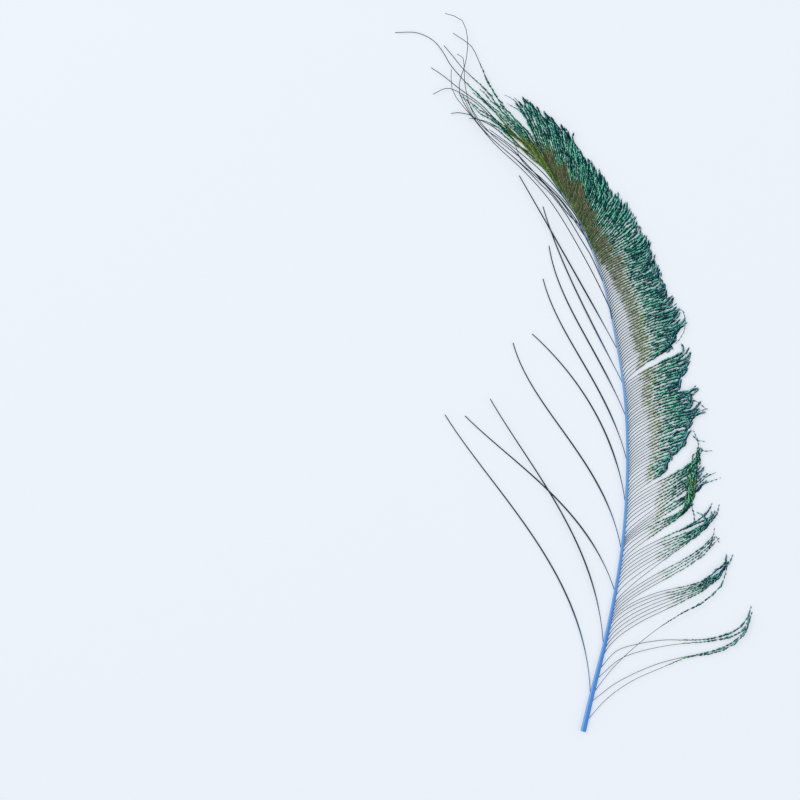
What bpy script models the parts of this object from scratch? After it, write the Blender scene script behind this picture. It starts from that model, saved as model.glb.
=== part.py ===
"""One-sided peacock side feather, dyed blue, lying flat.

The cut end points towards -Y and the tip towards +Y. The dense vane spreads to +X, the bare inner
barbs to -X. The origin is at the middle of the footprint, on the surface that the feather rests on.
Lengths in the tables are in millimetres and angles in degrees, counted from +X towards +Y.
"""

import math

import bpy
import numpy as np

MM = 0.001

# The shaft: its centreline from the cut end to its tip, and its width at heights along Y.
SHAFT_COURSE = [
    (5, -179), (9.8, -159), (16, -134.5), (20.9, -110.5), (24.4, -88), (26.5, -64),
    (27.1, -38.5), (25.6, -10), (21, 19), (15.7, 43), (8.8, 63), (2.2, 77.5),
    (-12, 99), (-25.5, 115),
]
SHAFT_WIDTH = [
    (-179, 2.8), (-143, 2.2), (-105, 1.7), (-28, 1.35), (50, 1.0), (95, 0.6), (115, 0.35),
]
SHAFT_DEPTH = 0.9            # depth of its section as a share of its width
SHAFT_ARCH = 0.9             # how far the middle of the shaft stands off the surface
SHAFT_RISE = 0.05            # how much higher its tip lies than its cut end
SHAFT_SIDES = 12
SHAFT_STEPS = 36

# Barbs: how far the pull of the leaving and of the arriving direction reaches along a barb.
LEAVE_REACH = 0.38
ARRIVE_REACH = 0.30
NEIGHBOUR_GAP = 0.45         # clear space between a barb or lobe and the shaft

# Vane lobes and tufts: runs of barbs that lie side by side. Each row is one guide barb:
# root height, tip x, tip y, leaving angle, arriving angle.
LOBES = {
    "vane_lobe_01": [
        (94.5, -29, 137, 112, 126),
        (92, -26, 139.5, 110, 120),
        (89.5, -20.5, 135.5, 107, 114),
        (87, -14.5, 131.5, 101, 110),
        (85, -8, 127.5, 92, 106),
        (83, -1.5, 121, 82, 100),
        (81, 4, 111.5, 70, 94),
        (78.5, 9.5, 105, 62, 86),
        (74.5, 15, 99, 54, 78),
        (69.5, 20, 91.5, 50, 70),
        (65, 25, 85.5, 44, 66),
    ],
    "vane_lobe_02": [
        (62.5, 27, 84, 40, 64),
        (59.5, 31.5, 77.5, 38, 54),
        (54.5, 37.5, 69, 33, 40),
    ],
    "vane_lobe_03": [
        (52, 38.5, 66.5, 33, 44),
        (46.5, 41, 60.5, 35, 38),
        (40.5, 43.5, 53.5, 36, 26),
        (33.5, 46.5, 46, 37, 18),
        (25.5, 50.5, 39, 38, 16),
        (16.5, 54, 30.5, 38, 12),
        (10.5, 56, 24, 38, 8),
        (4, 55.5, 17.5, 38, 10),
        (-3, 52, 12.5, 38, 22),
    ],
    "vane_lobe_04": [
        (-6.5, 60.5, 12.5, 39, 16),
        (-11.5, 61, 3, 38, 8),
        (-16.5, 57.5, -2.5, 38, 12),
        (-20, 56.5, -7.5, 38, 10),
    ],
    "vane_lobe_05": [
        (-23, 63.5, -8.5, 38, 5),
        (-28.5, 62, -15.5, 38, 4),
        (-33.5, 66, -18, 39, 5),
        (-38.5, 63, -22.5, 39, 8),
        (-44.5, 61, -29.5, 39, 12),
        (-50.5, 57.5, -37.5, 39, 14),
        (-56.5, 51.5, -42, 40, 22),
        (-61.5, 47.5, -49, 40, 25),
    ],
    "lower_tuft_01": [
        (-65.5, 64, -38, 40, 65),
        (-69.5, 65, -42.5, 40, 60),
        (-75.5, 66, -48, 40, 45),
        (-80.5, 71.5, -50, 40, 24),
        (-86, 62.5, -62.5, 41, 45),
        (-91.5, 59.5, -67, 42, 35),
    ],
    "lower_tuft_02": [
        (-96.5, 71, -66, 43, 60),
        (-101.5, 73, -67, 43, 60),
        (-107.5, 72, -71.5, 44, 55),
        (-112, 70, -74.5, 45, 40),
    ],
    "lower_tuft_03": [
        (-116.5, 72, -78.5, 45, 62),
        (-119.5, 73, -82, 45, 55),
    ],
    "lower_tuft_04": [
        (-123.5, 76.5, -91, 47, 78),
        (-129.5, 78, -91.5, 49, 75),
        (-133.5, 78.5, -93, 50, 72),
        (-138.5, 78.5, -95, 52, 70),
    ],
}
LOBE_DEPTH_ROOT = 1.7        # depth of a lobe beside the shaft
LOBE_DEPTH_TIP = 0.6         # depth of a lobe at its tips
LOBE_STEPS = 9

# Single barbs of the vane side near the cut end: root height, the height they pass at, the height
# of their free end, and their course from the shaft on. Four of them meet at their tips.
LOWER_BARBS = {
    "lower_barb_01": (-158.5, 3.0, 1.6, [
        (18, -149.5), (25, -142), (34.5, -133.5), (45, -125.5), (54, -120), (62.5, -115.5),
        (70, -110), (74.5, -104.5), (76.5, -97.5),
    ]),
    "lower_barb_02": (-147, 0.5, 0.4, [
        (21.5, -139), (32, -135.5), (45, -133.5), (56.5, -133.5), (68, -133), (75.5, -131),
        (82, -128), (86, -124), (88, -120), (89, -116.5),
    ]),
    "lower_barb_03": (-152, 1.4, 1.2, [
        (22.5, -143.5), (32, -139.5), (45, -136.5), (56.5, -135), (68, -134), (77.5, -132),
        (84, -129), (87, -124.5), (88, -120),
    ]),
    "lower_barb_04": (-163.5, 0.5, 2.2, [
        (20.5, -155.5), (32, -149.5), (43.5, -145), (55.5, -142), (66, -140), (74, -137.5),
        (81, -133.5), (86, -128), (88.5, -121),
    ]),
    "lower_barb_05": (-172.5, 1.4, 3.0, [
        (15.5, -164), (23.5, -157.5), (33, -152), (43.5, -147.5), (55.5, -142.5), (66, -140.5),
        (74, -138.5), (81, -134.5), (85.5, -129.5), (87.5, -124),
    ]),
}

# Bare barbs of the inner side: rows as for the lobes, with the height they pass at.
INNER_BARBS = {
    "inner_barb_01": (-160, -64, -21, 92, 122, 0.5),
    "inner_barb_02": (-135, -41.5, -13, 94, 120, 1.6),
    "inner_barb_03": (-108.5, -54, -21.5, 108, 135, 0.5),
    "inner_barb_04": (-87.5, -30, 15, 100, 105, 0.5),
    "inner_barb_05": (-64, -20.5, 19.5, 98, 138, 0.5),
    "inner_barb_06": (-43, -15, 47, 104, 104, 0.5),
    "inner_barb_07": (-21, -12, 63.5, 112, 98, 0.5),
    "inner_barb_08": (-4.5, -15, 83, 117, 106, 0.5),
    "inner_barb_09": (12.5, -27, 98.5, 119, 120, 1.6),
}

# Long barbs that pass the tip of the shaft: the height each one lies at, and its course from the
# root on. They lie across each other at different heights.
TIP_BARBS = {
    "inner_barb_10": (5.1, [
        (18, 32), (6, 56), (-10, 83), (-24.5, 100), (-39, 113.5), (-49.5, 126), (-57, 135),
        (-60, 139.5), (-61, 144.5), (-61, 151),
    ]),
    "tip_barb_01": (0.9, [
        (-26.5, 116.5), (-32, 122), (-42.5, 134), (-54, 145.5), (-61, 153.5), (-65.5, 161),
        (-70.5, 166.5), (-78.5, 170), (-89, 170),
    ]),
    "tip_barb_02": (0.9, [
        (-14, 103), (-19.5, 111), (-26, 120), (-36.5, 131.5), (-43, 140.5), (-55, 152),
        (-59.5, 157.5), (-64.5, 163.5),
    ]),
    "tip_barb_03": (2.2, [
        (-10.5, 98.5), (-16.5, 109), (-22, 119), (-28, 125.5), (-34.5, 132.5), (-41, 142),
        (-46.5, 154), (-51, 163), (-60, 169.5),
    ]),
    "tip_barb_04": (0.9, [
        (-26, 112.5), (-31.5, 118.5), (-37.5, 125), (-46, 134), (-57.5, 142.5), (-65, 148.5),
        (-71, 152.5),
    ]),
    "tip_barb_05": (2.0, [
        (-22, 108), (-32.5, 119), (-40.5, 127), (-49, 135), (-58, 140.5), (-63.5, 142),
        (-70, 139),
    ]),
    "tip_barb_06": (0.9, [
        (-29, 114), (-38, 121.5), (-43.5, 125), (-48.5, 127), (-52, 129), (-57.5, 130),
        (-61, 129.5),
    ]),
    "tip_barb_07": (4.1, [
        (3.5, 71), (-7.5, 87), (-22.5, 101), (-40.5, 116.5), (-49, 125.5), (-56, 137),
        (-57, 144), (-53.5, 156), (-53, 168), (-56, 176), (-64, 179),
    ]),
    "tip_barb_08": (3.0, [
        (-2.5, 79), (-13.5, 93), (-31.5, 112.5), (-44.5, 122), (-51, 131.5), (-54, 143),
        (-54.5, 151), (-55, 157), (-58, 159),
    ]),
}
BARB_RADIUS_ROOT = 0.40
BARB_RADIUS_TIP = 0.22
BARB_SIDES = 6
BARB_STEPS = 14
TIP_HEIGHT = 0.4             # height of the free end of a barb that comes down to the surface
PASSING_FROM = 0.25          # shares of a barb's length between which it keeps its passing height
PASSING_TO = 0.7

SUB_STEPS = 16               # points worked out between two neighbours of a course's table
SHARP_ANGLE = 40             # edges sharper than this stay crisp

# Colours (linear) and finish of each kind of piece.
SHAFT_BLUE = (0.045, 0.25, 0.80)
VANE_GREEN = (0.015, 0.16, 0.11)
BARB_DARK = (0.03, 0.055, 0.05)


def clear_scene():
    for item in list(bpy.data.objects):
        bpy.data.objects.remove(item)


def make_material(name, color, roughness, metallic):
    material = bpy.data.materials.new(name)
    material.use_nodes = True
    shader = material.node_tree.nodes["Principled BSDF"]
    shader.inputs["Base Color"].default_value = (*color, 1.0)
    shader.inputs["Roughness"].default_value = roughness
    shader.inputs["Metallic"].default_value = metallic
    return material


def smooth_step(share):
    share = np.clip(share, 0.0, 1.0)
    return share * share * (3.0 - 2.0 * share)


def smooth_course(points, steps):
    """Even steps along a smooth curve through the points (Catmull-Rom)."""
    points = np.array(points, float)
    before = 2 * points[0] - points[1]
    after = 2 * points[-1] - points[-2]
    run = np.vstack([before, points, after])
    dense = []
    for a, b, c, d in zip(run, run[1:], run[2:], run[3:]):
        for t in np.linspace(0.0, 1.0, SUB_STEPS, endpoint=False):
            dense.append(0.5 * (2 * b + (c - a) * t + (2 * a - 5 * b + 4 * c - d) * t**2
                                + (3 * b - 3 * c + d - a) * t**3))
    dense.append(points[-1])
    dense = np.array(dense)
    length = np.concatenate([[0.0], np.cumsum(np.linalg.norm(np.diff(dense, axis=0), axis=1))])
    even = np.linspace(0.0, length[-1], steps)
    return np.column_stack([np.interp(even, length, dense[:, i]) for i in range(2)])


SHAFT_LINE = smooth_course(SHAFT_COURSE, 400)


def side_of(course):
    """Unit vectors across a flat course, pointing to its right."""
    along = np.gradient(course, axis=0)
    along /= np.linalg.norm(along, axis=1)[:, None]
    return np.column_stack([along[:, 1], -along[:, 0]])


SHAFT_RIGHT = side_of(SHAFT_LINE)


def shaft_width(height):
    heights, widths = zip(*SHAFT_WIDTH)
    return np.interp(height, heights, widths)


def shaft_middle(height):
    """Height of the shaft's centre above the surface, at a height along Y."""
    low, high = SHAFT_COURSE[0][1], SHAFT_COURSE[-1][1]
    along = (height - low) / (high - low)
    arch = SHAFT_ARCH * np.sin(math.pi * along) ** 2 + SHAFT_RISE * along
    return SHAFT_DEPTH * shaft_width(height) / 2 + arch


def root_on_shaft(height, side, clearance):
    """Where a barb starts, beside the shaft: side is 1 for its right and -1 for its left."""
    x, y = (np.interp(height, SHAFT_LINE[:, 1], SHAFT_LINE[:, i]) for i in range(2))
    across = np.array([np.interp(height, SHAFT_LINE[:, 1], SHAFT_RIGHT[:, i]) for i in range(2)])
    return np.array([x, y]) + side * across * (shaft_width(height) / 2 + clearance)


def barb_course(root, tip, leave, arrive, steps):
    """A barb's flat course: a cubic curve that leaves and arrives at the two angles."""
    tip = np.array(tip, float)
    reach = np.linalg.norm(tip - root)
    leave_by = np.array([math.cos(math.radians(leave)), math.sin(math.radians(leave))])
    arrive_by = np.array([math.cos(math.radians(arrive)), math.sin(math.radians(arrive))])
    pull_root = root + LEAVE_REACH * reach * leave_by
    pull_tip = tip - ARRIVE_REACH * reach * arrive_by
    t = np.linspace(0.0, 1.0, steps)[:, None]
    return ((1 - t)**3 * root + 3 * (1 - t)**2 * t * pull_root
            + 3 * (1 - t) * t**2 * pull_tip + t**3 * tip)


def add_piece(name, points, faces, material):
    mesh = bpy.data.meshes.new(name)
    mesh.from_pydata([tuple(p * MM for p in point) for point in points], [], faces)
    mesh.materials.append(material)
    mesh.shade_smooth()
    mesh.set_sharp_from_angle(angle=math.radians(SHARP_ANGLE))
    piece = bpy.data.objects.new(name, mesh)
    bpy.context.scene.collection.objects.link(piece)
    return piece


def add_tube(name, course, heights, half_widths, half_depths, sides, material):
    """A closed oval tube along a flat course, with a height at every step."""
    across = side_of(course)
    points, faces = [], []
    turns = np.linspace(0.0, 2 * math.pi, sides, endpoint=False)
    for place, right, height, wide, deep in zip(course, across, heights, half_widths, half_depths):
        for turn in turns:
            flat = place + right * wide * math.cos(turn)
            points.append((*flat, height + deep * math.sin(turn)))
    rings = len(course)
    for ring in range(rings - 1):
        for side in range(sides):
            a = ring * sides + side
            b = ring * sides + (side + 1) % sides
            faces.append((a, b, b + sides, a + sides))
    faces.append(tuple(range(sides))[::-1])
    faces.append(tuple(range((rings - 1) * sides, rings * sides)))
    return add_piece(name, points, [face[::-1] for face in faces], material)


def add_shaft(material):
    course = smooth_course(SHAFT_COURSE, SHAFT_STEPS)
    half_widths = shaft_width(course[:, 1]) / 2
    heights = shaft_middle(course[:, 1])
    return add_tube("shaft", course, heights, half_widths, half_widths * SHAFT_DEPTH,
                    SHAFT_SIDES, material)


def add_lobe(name, guides, material):
    """A thin closed slab with a flat underside, ruled through its guide barbs."""
    rows = []
    for height, tip_x, tip_y, leave, arrive in guides:
        root = root_on_shaft(height, 1, NEIGHBOUR_GAP)
        rows.append(barb_course(root, (tip_x, tip_y), leave, arrive, LOBE_STEPS))
    along = np.linspace(0.0, 1.0, LOBE_STEPS)
    depth = LOBE_DEPTH_ROOT + (LOBE_DEPTH_TIP - LOBE_DEPTH_ROOT) * along**2
    points = [(*p, z) for row in rows for p, z in zip(row, depth)]
    points += [(*p, 0.0) for row in rows for p in row]
    count, under = len(rows), len(rows) * LOBE_STEPS
    faces = []
    for row in range(count - 1):
        for step in range(LOBE_STEPS - 1):
            a = row * LOBE_STEPS + step
            b = a + LOBE_STEPS
            faces.append((a, b, b + 1, a + 1))
            faces.append((under + a, under + a + 1, under + b + 1, under + b))
    border = list(range(LOBE_STEPS))
    border += [row * LOBE_STEPS + LOBE_STEPS - 1 for row in range(1, count)]
    border += [(count - 1) * LOBE_STEPS + step for step in range(LOBE_STEPS - 2, -1, -1)]
    border += [row * LOBE_STEPS for row in range(count - 2, 0, -1)]
    for a, b in zip(border, border[1:] + border[:1]):
        faces.append((a, b, under + b, under + a))
    return add_piece(name, points, faces, material)


def add_barb(name, course, start, passing, end, material):
    """A thin tapered barb that runs from one height to a passing height and on to its end."""
    along = np.linspace(0.0, 1.0, len(course))
    down = smooth_step(along / PASSING_FROM)
    out = smooth_step((along - PASSING_TO) / (1.0 - PASSING_TO))
    heights = start + (passing - start) * down + (end - passing) * out
    radii = BARB_RADIUS_ROOT + (BARB_RADIUS_TIP - BARB_RADIUS_ROOT) * along
    return add_tube(name, course, heights, radii, radii, BARB_SIDES, material)


def add_lower_barbs(material):
    for name, (height, passing, end, route) in LOWER_BARBS.items():
        root = root_on_shaft(height, 1, NEIGHBOUR_GAP + BARB_RADIUS_ROOT)
        course = smooth_course([root, *route], BARB_STEPS + len(route))
        add_barb(name, course, shaft_middle(height), passing, end, material)


def add_inner_barbs(material):
    for name, (height, tip_x, tip_y, leave, arrive, passing) in INNER_BARBS.items():
        root = root_on_shaft(height, -1, NEIGHBOUR_GAP + BARB_RADIUS_ROOT)
        course = barb_course(root, (tip_x, tip_y), leave, arrive, BARB_STEPS)
        add_barb(name, course, shaft_middle(height), passing, TIP_HEIGHT, material)


def add_tip_barbs(material):
    for name, (passing, route) in TIP_BARBS.items():
        course = smooth_course(route, BARB_STEPS + len(route))
        add_barb(name, course, passing, passing, passing, material)


def build():
    clear_scene()
    add_shaft(make_material("dyed_shaft", SHAFT_BLUE, 0.35, 0.0))
    vane = make_material("vane_green", VANE_GREEN, 0.4, 0.5)
    dark = make_material("barb_dark", BARB_DARK, 0.5, 0.2)
    for name, guides in LOBES.items():
        add_lobe(name, guides, vane)
    add_lower_barbs(dark)
    add_inner_barbs(dark)
    add_tip_barbs(dark)


build()
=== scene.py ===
"""Looks of a one-sided peacock side feather, dyed blue, lying flat.

A grooming pass lays every barb of the feather as a course with a height, a thickness and a dressing
of barbules. A geometry node tree turns each run of barbs into real meshes.
Lengths are in millimetres, and in metres for the stage. Angles are in degrees, counted from +X
towards +Y.
"""

import math
import random

import bpy
import numpy as np
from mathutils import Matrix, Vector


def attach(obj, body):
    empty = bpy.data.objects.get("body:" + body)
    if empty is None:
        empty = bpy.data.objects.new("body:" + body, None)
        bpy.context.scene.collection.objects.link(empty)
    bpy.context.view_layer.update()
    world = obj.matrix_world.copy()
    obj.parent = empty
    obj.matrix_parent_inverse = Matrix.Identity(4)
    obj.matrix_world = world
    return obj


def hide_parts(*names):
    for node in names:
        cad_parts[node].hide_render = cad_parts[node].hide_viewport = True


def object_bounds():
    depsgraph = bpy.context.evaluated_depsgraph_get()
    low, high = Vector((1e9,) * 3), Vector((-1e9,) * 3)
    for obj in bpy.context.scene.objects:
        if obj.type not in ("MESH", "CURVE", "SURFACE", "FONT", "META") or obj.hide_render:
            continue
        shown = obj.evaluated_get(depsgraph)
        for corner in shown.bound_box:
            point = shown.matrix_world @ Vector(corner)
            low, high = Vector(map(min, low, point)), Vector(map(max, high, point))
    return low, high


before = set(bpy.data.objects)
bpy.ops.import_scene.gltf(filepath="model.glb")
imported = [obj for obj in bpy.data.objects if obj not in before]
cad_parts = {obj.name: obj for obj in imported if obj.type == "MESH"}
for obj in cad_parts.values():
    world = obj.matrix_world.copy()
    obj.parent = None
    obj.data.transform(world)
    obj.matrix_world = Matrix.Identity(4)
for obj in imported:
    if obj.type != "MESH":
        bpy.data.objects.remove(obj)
cad_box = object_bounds()

MM = 0.001
SEED = 4

# ---------------------------------------- sizes of the dressing

STEM_SIDES = 5
TUFT_PITCH = 2.0             # step from one tuft to the next along a barb
TUFT_LENGTH = 2.7            # length of a tuft of size one
TUFT_SHAPE = (6, 0.22, 0.10) # pairs of blades, and their spread and width as shares of the tuft
DOWN_PITCH = 0.62
DOWN_LENGTH = 1.25
DOWN_SHAPE = (3, 0.34, 0.13)
TUFT_KINDS = 8               # slightly different tufts to pick from
SIZE_SPREAD = 0.22           # how far a tuft's size strays, as a share
LEAST_SIZE = 0.2             # tufts smaller than this are left out
WANDER = 0.14                # how far a tuft may sit from the line of its barb
LIT_SIDE = 0.75              # share of a barbule's painted glint that its side of the barb decides: painted highlight on one side, painted shade on the other
BARB_STEPS = 32              # places along a barb that carry its height, thickness and dressing
ALONG = np.linspace(0.0, 1.0, BARB_STEPS)    # share of the barb's length at each of them

# ---------------------------------------- the feather's layout, as in the CAD

# The shaft's middle line from its cut end to its tip, and its width by height along Y.
SHAFT_COURSE = [
    (5, -179), (9.8, -159), (16, -134.5), (20.9, -110.5), (24.4, -88), (26.5, -64),
    (27.1, -38.5), (25.6, -10), (21, 19), (15.7, 43), (8.8, 63), (2.2, 77.5),
    (-12, 99), (-25.5, 115),
]
SHAFT_WIDTH = [
    (-179, 2.8), (-143, 2.2), (-105, 1.7), (-28, 1.35), (50, 1.0), (95, 0.6), (115, 0.35),
]
SHAFT_DEPTH = 0.9            # depth as a share of the width
SHAFT_ARCH = 0.9             # how high its underside arches halfway
SHAFT_RISE = 0.05            # how high its underside lies at the tip
ROOT_INSET = 0.42            # how far off the shaft's middle barbs start, as a share of the shaft's width

LEAVE_REACH = 0.38           # how far a barb holds its leaving angle, as a share of its reach
ARRIVE_REACH = 0.30          # the same for its arriving angle

# Guide barbs of each lobe: root height, tip x, tip y, leaving angle, arriving angle.
LOBES = {
    "vane_lobe_01": [
        (94.5, -29.4, 136, 116, 128),
        (92, -25, 139, 109, 119),
        (89.5, -20.5, 135.5, 105, 114),
        (87, -14.5, 131.5, 101, 110),
        (85, -8, 127.5, 92, 106),
        (83, -1.5, 121, 82, 100),
        (81, 4, 111.5, 70, 94),
        (78.5, 9.5, 105, 62, 86),
        (74.5, 15, 99, 54, 78),
        (69.5, 20, 91.5, 50, 70),
        (65, 25, 85.5, 44, 66),
    ],
    "vane_lobe_02": [
        (62.5, 27, 84, 40, 64),
        (59.5, 31.5, 77.5, 38, 54),
        (54.5, 37.5, 69, 33, 40),
    ],
    "vane_lobe_03": [
        (52, 38.5, 66.5, 33, 44),
        (46.5, 41, 60.5, 35, 38),
        (40.5, 43.5, 53.5, 36, 26),
        (33.5, 46.5, 46, 37, 18),
        (25.5, 50.5, 39, 38, 16),
        (16.5, 54, 30.5, 38, 12),
        (10.5, 56, 24, 38, 8),
        (4, 55.5, 17.5, 38, 10),
        (-3, 52, 13, 44, 12),
    ],
    "vane_lobe_04": [
        (-6.5, 60.5, 12, 33, 24),
        (-11.5, 61, 3, 38, 8),
        (-16.5, 57.5, -2.5, 38, 12),
        (-20, 56.5, -7.5, 38, 10),
    ],
    "vane_lobe_05": [
        (-23, 63.5, -8.5, 38, 5),
        (-28.5, 62, -15.5, 38, 4),
        (-33.5, 66, -18, 39, 5),
        (-38.5, 63, -22.5, 39, 8),
        (-44.5, 61, -29.5, 39, 12),
        (-50.5, 57.5, -37.5, 39, 14),
        (-56.5, 51.5, -42, 40, 22),
        (-61.5, 47.5, -49, 40, 25),
    ],
    "lower_tuft_01": [
        (-65.5, 64, -38, 40, 65),
        (-69.5, 65, -42.5, 40, 60),
        (-75.5, 66, -48, 40, 45),
        (-80.5, 71.5, -50, 40, 24),
        (-86, 62.5, -62.5, 41, 45),
        (-91.5, 59.5, -67, 42, 35),
    ],
    "lower_tuft_02": [
        (-96.5, 71, -66, 43, 60),
        (-101.5, 73, -67, 43, 60),
        (-107.5, 72, -71.5, 44, 55),
        (-112, 70, -74.5, 45, 40),
    ],
    "lower_tuft_03": [
        (-116.5, 72, -78.5, 45, 62),
        (-119.5, 73, -82, 45, 55),
    ],
    "lower_tuft_04": [
        (-123.5, 76.5, -91, 47, 78),
        (-129.5, 78, -91.5, 49, 75),
        (-133.5, 78.5, -93, 50, 72),
        (-138.5, 78.5, -95, 52, 70),
    ],
}

# Single barbs of the vane side: root height, the heights they pass and end at, and their course.
LOWER_BARBS = {
    "lower_barb_01": (-158.5, 3.0, 1.6, [
        (18, -149.5), (25, -142), (34.5, -133.5), (45, -125.5), (54, -120), (62.5, -115.5),
        (70, -110), (74.5, -104.5), (76.5, -97.5),
    ]),
    "lower_barb_02": (-147, 0.5, 0.4, [
        (21.5, -139), (32, -135.5), (45, -133.5), (56.5, -133.5), (68, -133), (75.5, -131),
        (82, -128), (86, -124), (88, -120), (89, -116.5),
    ]),
    "lower_barb_03": (-152, 1.4, 1.2, [
        (22.5, -143.5), (32, -139.5), (45, -136.5), (56.5, -135), (68, -134), (77.5, -132),
        (84, -129), (87, -124.5), (88, -120),
    ]),
    "lower_barb_04": (-163.5, 0.5, 2.2, [
        (20.5, -155.5), (32, -149.5), (43.5, -145), (55.5, -142), (66, -140), (74, -137.5),
        (81, -133.5), (86, -128), (88.5, -121),
    ]),
    "lower_barb_05": (-172.5, 1.4, 3.0, [
        (15.5, -164), (23.5, -157.5), (33, -152), (43.5, -147.5), (55.5, -142.5), (66, -140.5),
        (74, -138.5), (81, -134.5), (85.5, -129.5), (87.5, -124),
    ]),
}

# Bare barbs of the inner side: root height, tip x, tip y, leaving angle, arriving angle, and the
# height they pass at.
INNER_BARBS = {
    "inner_barb_01": (-160, -64, -21, 92, 122, 0.5),
    "inner_barb_02": (-135, -41.5, -13, 94, 120, 1.6),
    "inner_barb_03": (-108.5, -54, -21.5, 108, 135, 0.5),
    "inner_barb_04": (-87.5, -30, 15, 100, 105, 0.5),
    "inner_barb_05": (-64, -20.5, 19.5, 98, 138, 0.5),
    "inner_barb_06": (-43, -15, 47, 104, 104, 0.5),
    "inner_barb_07": (-21, -12, 63.5, 112, 98, 0.5),
    "inner_barb_08": (-4.5, -15, 83, 117, 106, 0.5),
    "inner_barb_09": (12.5, -27, 98.5, 119, 120, 1.6),
}

# Long barbs past the tip of the shaft: the height they pass at, the root's height along the shaft
# and its side, and the course.
TIP_BARBS = {
    "inner_barb_10": (5.1, 27.0, -1, [
        (18, 32), (6, 56), (-10, 83), (-24.5, 100), (-39, 113.5), (-49.5, 126), (-57, 135),
        (-60, 139.5), (-61, 144.5), (-61, 151),
    ]),
    "tip_barb_01": (0.9, 114.0, 1, [
        (-26.5, 116.5), (-32, 122), (-42.5, 134), (-54, 145.5), (-61, 153.5), (-65.5, 161),
        (-70.5, 166.5), (-78.5, 170), (-89, 170),
    ]),
    "tip_barb_02": (0.9, 100.5, 1, [
        (-14, 103), (-19.5, 111), (-26, 120), (-36.5, 131.5), (-43, 140.5), (-55, 152),
        (-59.5, 157.5), (-64.5, 163.5),
    ]),
    "tip_barb_03": (2.2, 95.5, 1, [
        (-10.5, 98.5), (-16.5, 109), (-22, 119), (-28, 125.5), (-34.5, 132.5), (-41, 142),
        (-46.5, 154), (-51, 163), (-60, 169.5),
    ]),
    "tip_barb_04": (0.9, 107.5, -1, [
        (-26, 112.5), (-31.5, 118.5), (-37.5, 125), (-46, 134), (-57.5, 142.5), (-65, 148.5),
        (-71, 152.5),
    ]),
    "tip_barb_05": (2.0, 103.0, -1, [
        (-22, 108), (-32.5, 119), (-40.5, 127), (-49, 135), (-58, 140.5), (-63.5, 142),
        (-70, 139),
    ]),
    "tip_barb_06": (0.9, 110.5, -1, [
        (-29, 114), (-38, 121.5), (-43.5, 125), (-48.5, 127), (-52, 129), (-57.5, 130),
        (-61, 129.5),
    ]),
    "tip_barb_07": (4.1, 66.0, -1, [
        (3.5, 71), (-7.5, 87), (-22.5, 101), (-40.5, 116.5), (-49, 125.5), (-56, 137),
        (-57, 144), (-53.5, 156), (-53, 168), (-56, 176), (-64, 179),
    ]),
    "tip_barb_08": (3.0, 73.0, -1, [
        (-2.5, 79), (-13.5, 93), (-31.5, 112.5), (-44.5, 122), (-51, 131.5), (-54, 143),
        (-54.5, 151), (-55, 157), (-58, 159),
    ]),
}

# The share of its length to which each barb of the fan is beaded.
COVERED = {
    "tip_barb_01": 0.36, "tip_barb_02": 0.60, "tip_barb_03": 0.62,
    "tip_barb_04": 0.34, "tip_barb_05": 0.36, "tip_barb_06": 0.30,
}

# Hairs that hug the shaft: the piece they belong to, the height they pass at, the root's height
# along the shaft, and the course.
HAIRS = [
    ("tip_barb_07", 3.9, 46.0, [
        (8.5, 58.5), (3.5, 66.8), (-2.5, 77), (-6.5, 83), (-11.5, 89.3), (-16.5, 94), (-23.5, 101.3),
        (-31.5, 108.8), (-41.5, 117.5), (-50, 127.5), (-55.5, 139),
    ]),
    ("tip_barb_08", 3.3, 61.5, [
        (3.2, 73), (-1.8, 80.5), (-6.8, 86.8), (-11.8, 91.8), (-21.5, 102), (-27.5, 108), (-36.5, 115),
        (-41.5, 119.5), (-47.5, 126.5), (-53, 135.5),
    ]),
    ("tip_barb_08", 2.4, 70.5, [
        (0.2, 80), (-7, 88.3), (-12, 93.3), (-17, 98), (-22.5, 102.5), (-26.5, 107), (-28.2, 111.5),
        (-29.8, 115.5),
    ]),
    ("tip_barb_08", 1.9, 84.0, [
        (-7.5, 91), (-13, 97.5), (-18.5, 103), (-23.5, 107.2), (-28, 111), (-35, 116.5), (-42, 121.5),
    ]),
    ("tip_barb_06", 1.2, 90.0, [
        (-12.3, 99), (-17.3, 104.8), (-22.2, 109.6), (-27, 113.4), (-31.5, 117.3), (-36.5, 121.8),
        (-41.5, 124.8), (-47, 126.5), (-52, 127.2),
    ]),
]

# The vane's last barbs, which lie along the end of the shaft, by the piece they belong to: the
# root's height along the shaft, tip x, tip y, leaving angle, arriving angle.
LAST_BARBS = {
    "tip_barb_03": [
        (92.4, -17.5, 113, 112, 116),
        (93.2, -19, 116, 113, 116),
        (94.0, -20.2, 118, 114, 117),
        (94.8, -21.3, 118.5, 116, 118),
        (95.2, -22.5, 120.5, 116, 120),
        (95.8, -26.4, 123.5, 116, 127),
        (96.8, -29.2, 126.5, 117, 128),
        (98.0, -36.5, 134.5, 115, 132),
        (98.7, -39.5, 136, 116, 133),
    ],
    "tip_barb_02": [
        (99.3, -27.5, 122, 115, 129),
        (100.6, -31.5, 126.5, 116, 131),
        (102.0, -30, 122.5, 117, 132),
        (102.7, -43, 135.5, 117, 135),
        (103.6, -46, 141, 119, 135),
        (104.6, -34.5, 126, 119, 134),
    ],
    "tip_barb_01": [
        (106.0, -33.5, 122.5, 121, 135),
        (107.4, -50, 140, 122, 138),
        (108.8, -37.5, 125, 124, 136),
        (110.2, -40, 126, 128, 136),
    ],
    "tip_barb_04": [
        (111.6, -50, 132.5, 130, 139),
        (113.0, -41, 124.5, 131, 139),
        (114.0, -56, 138.5, 131, 137),
    ],
}

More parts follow.
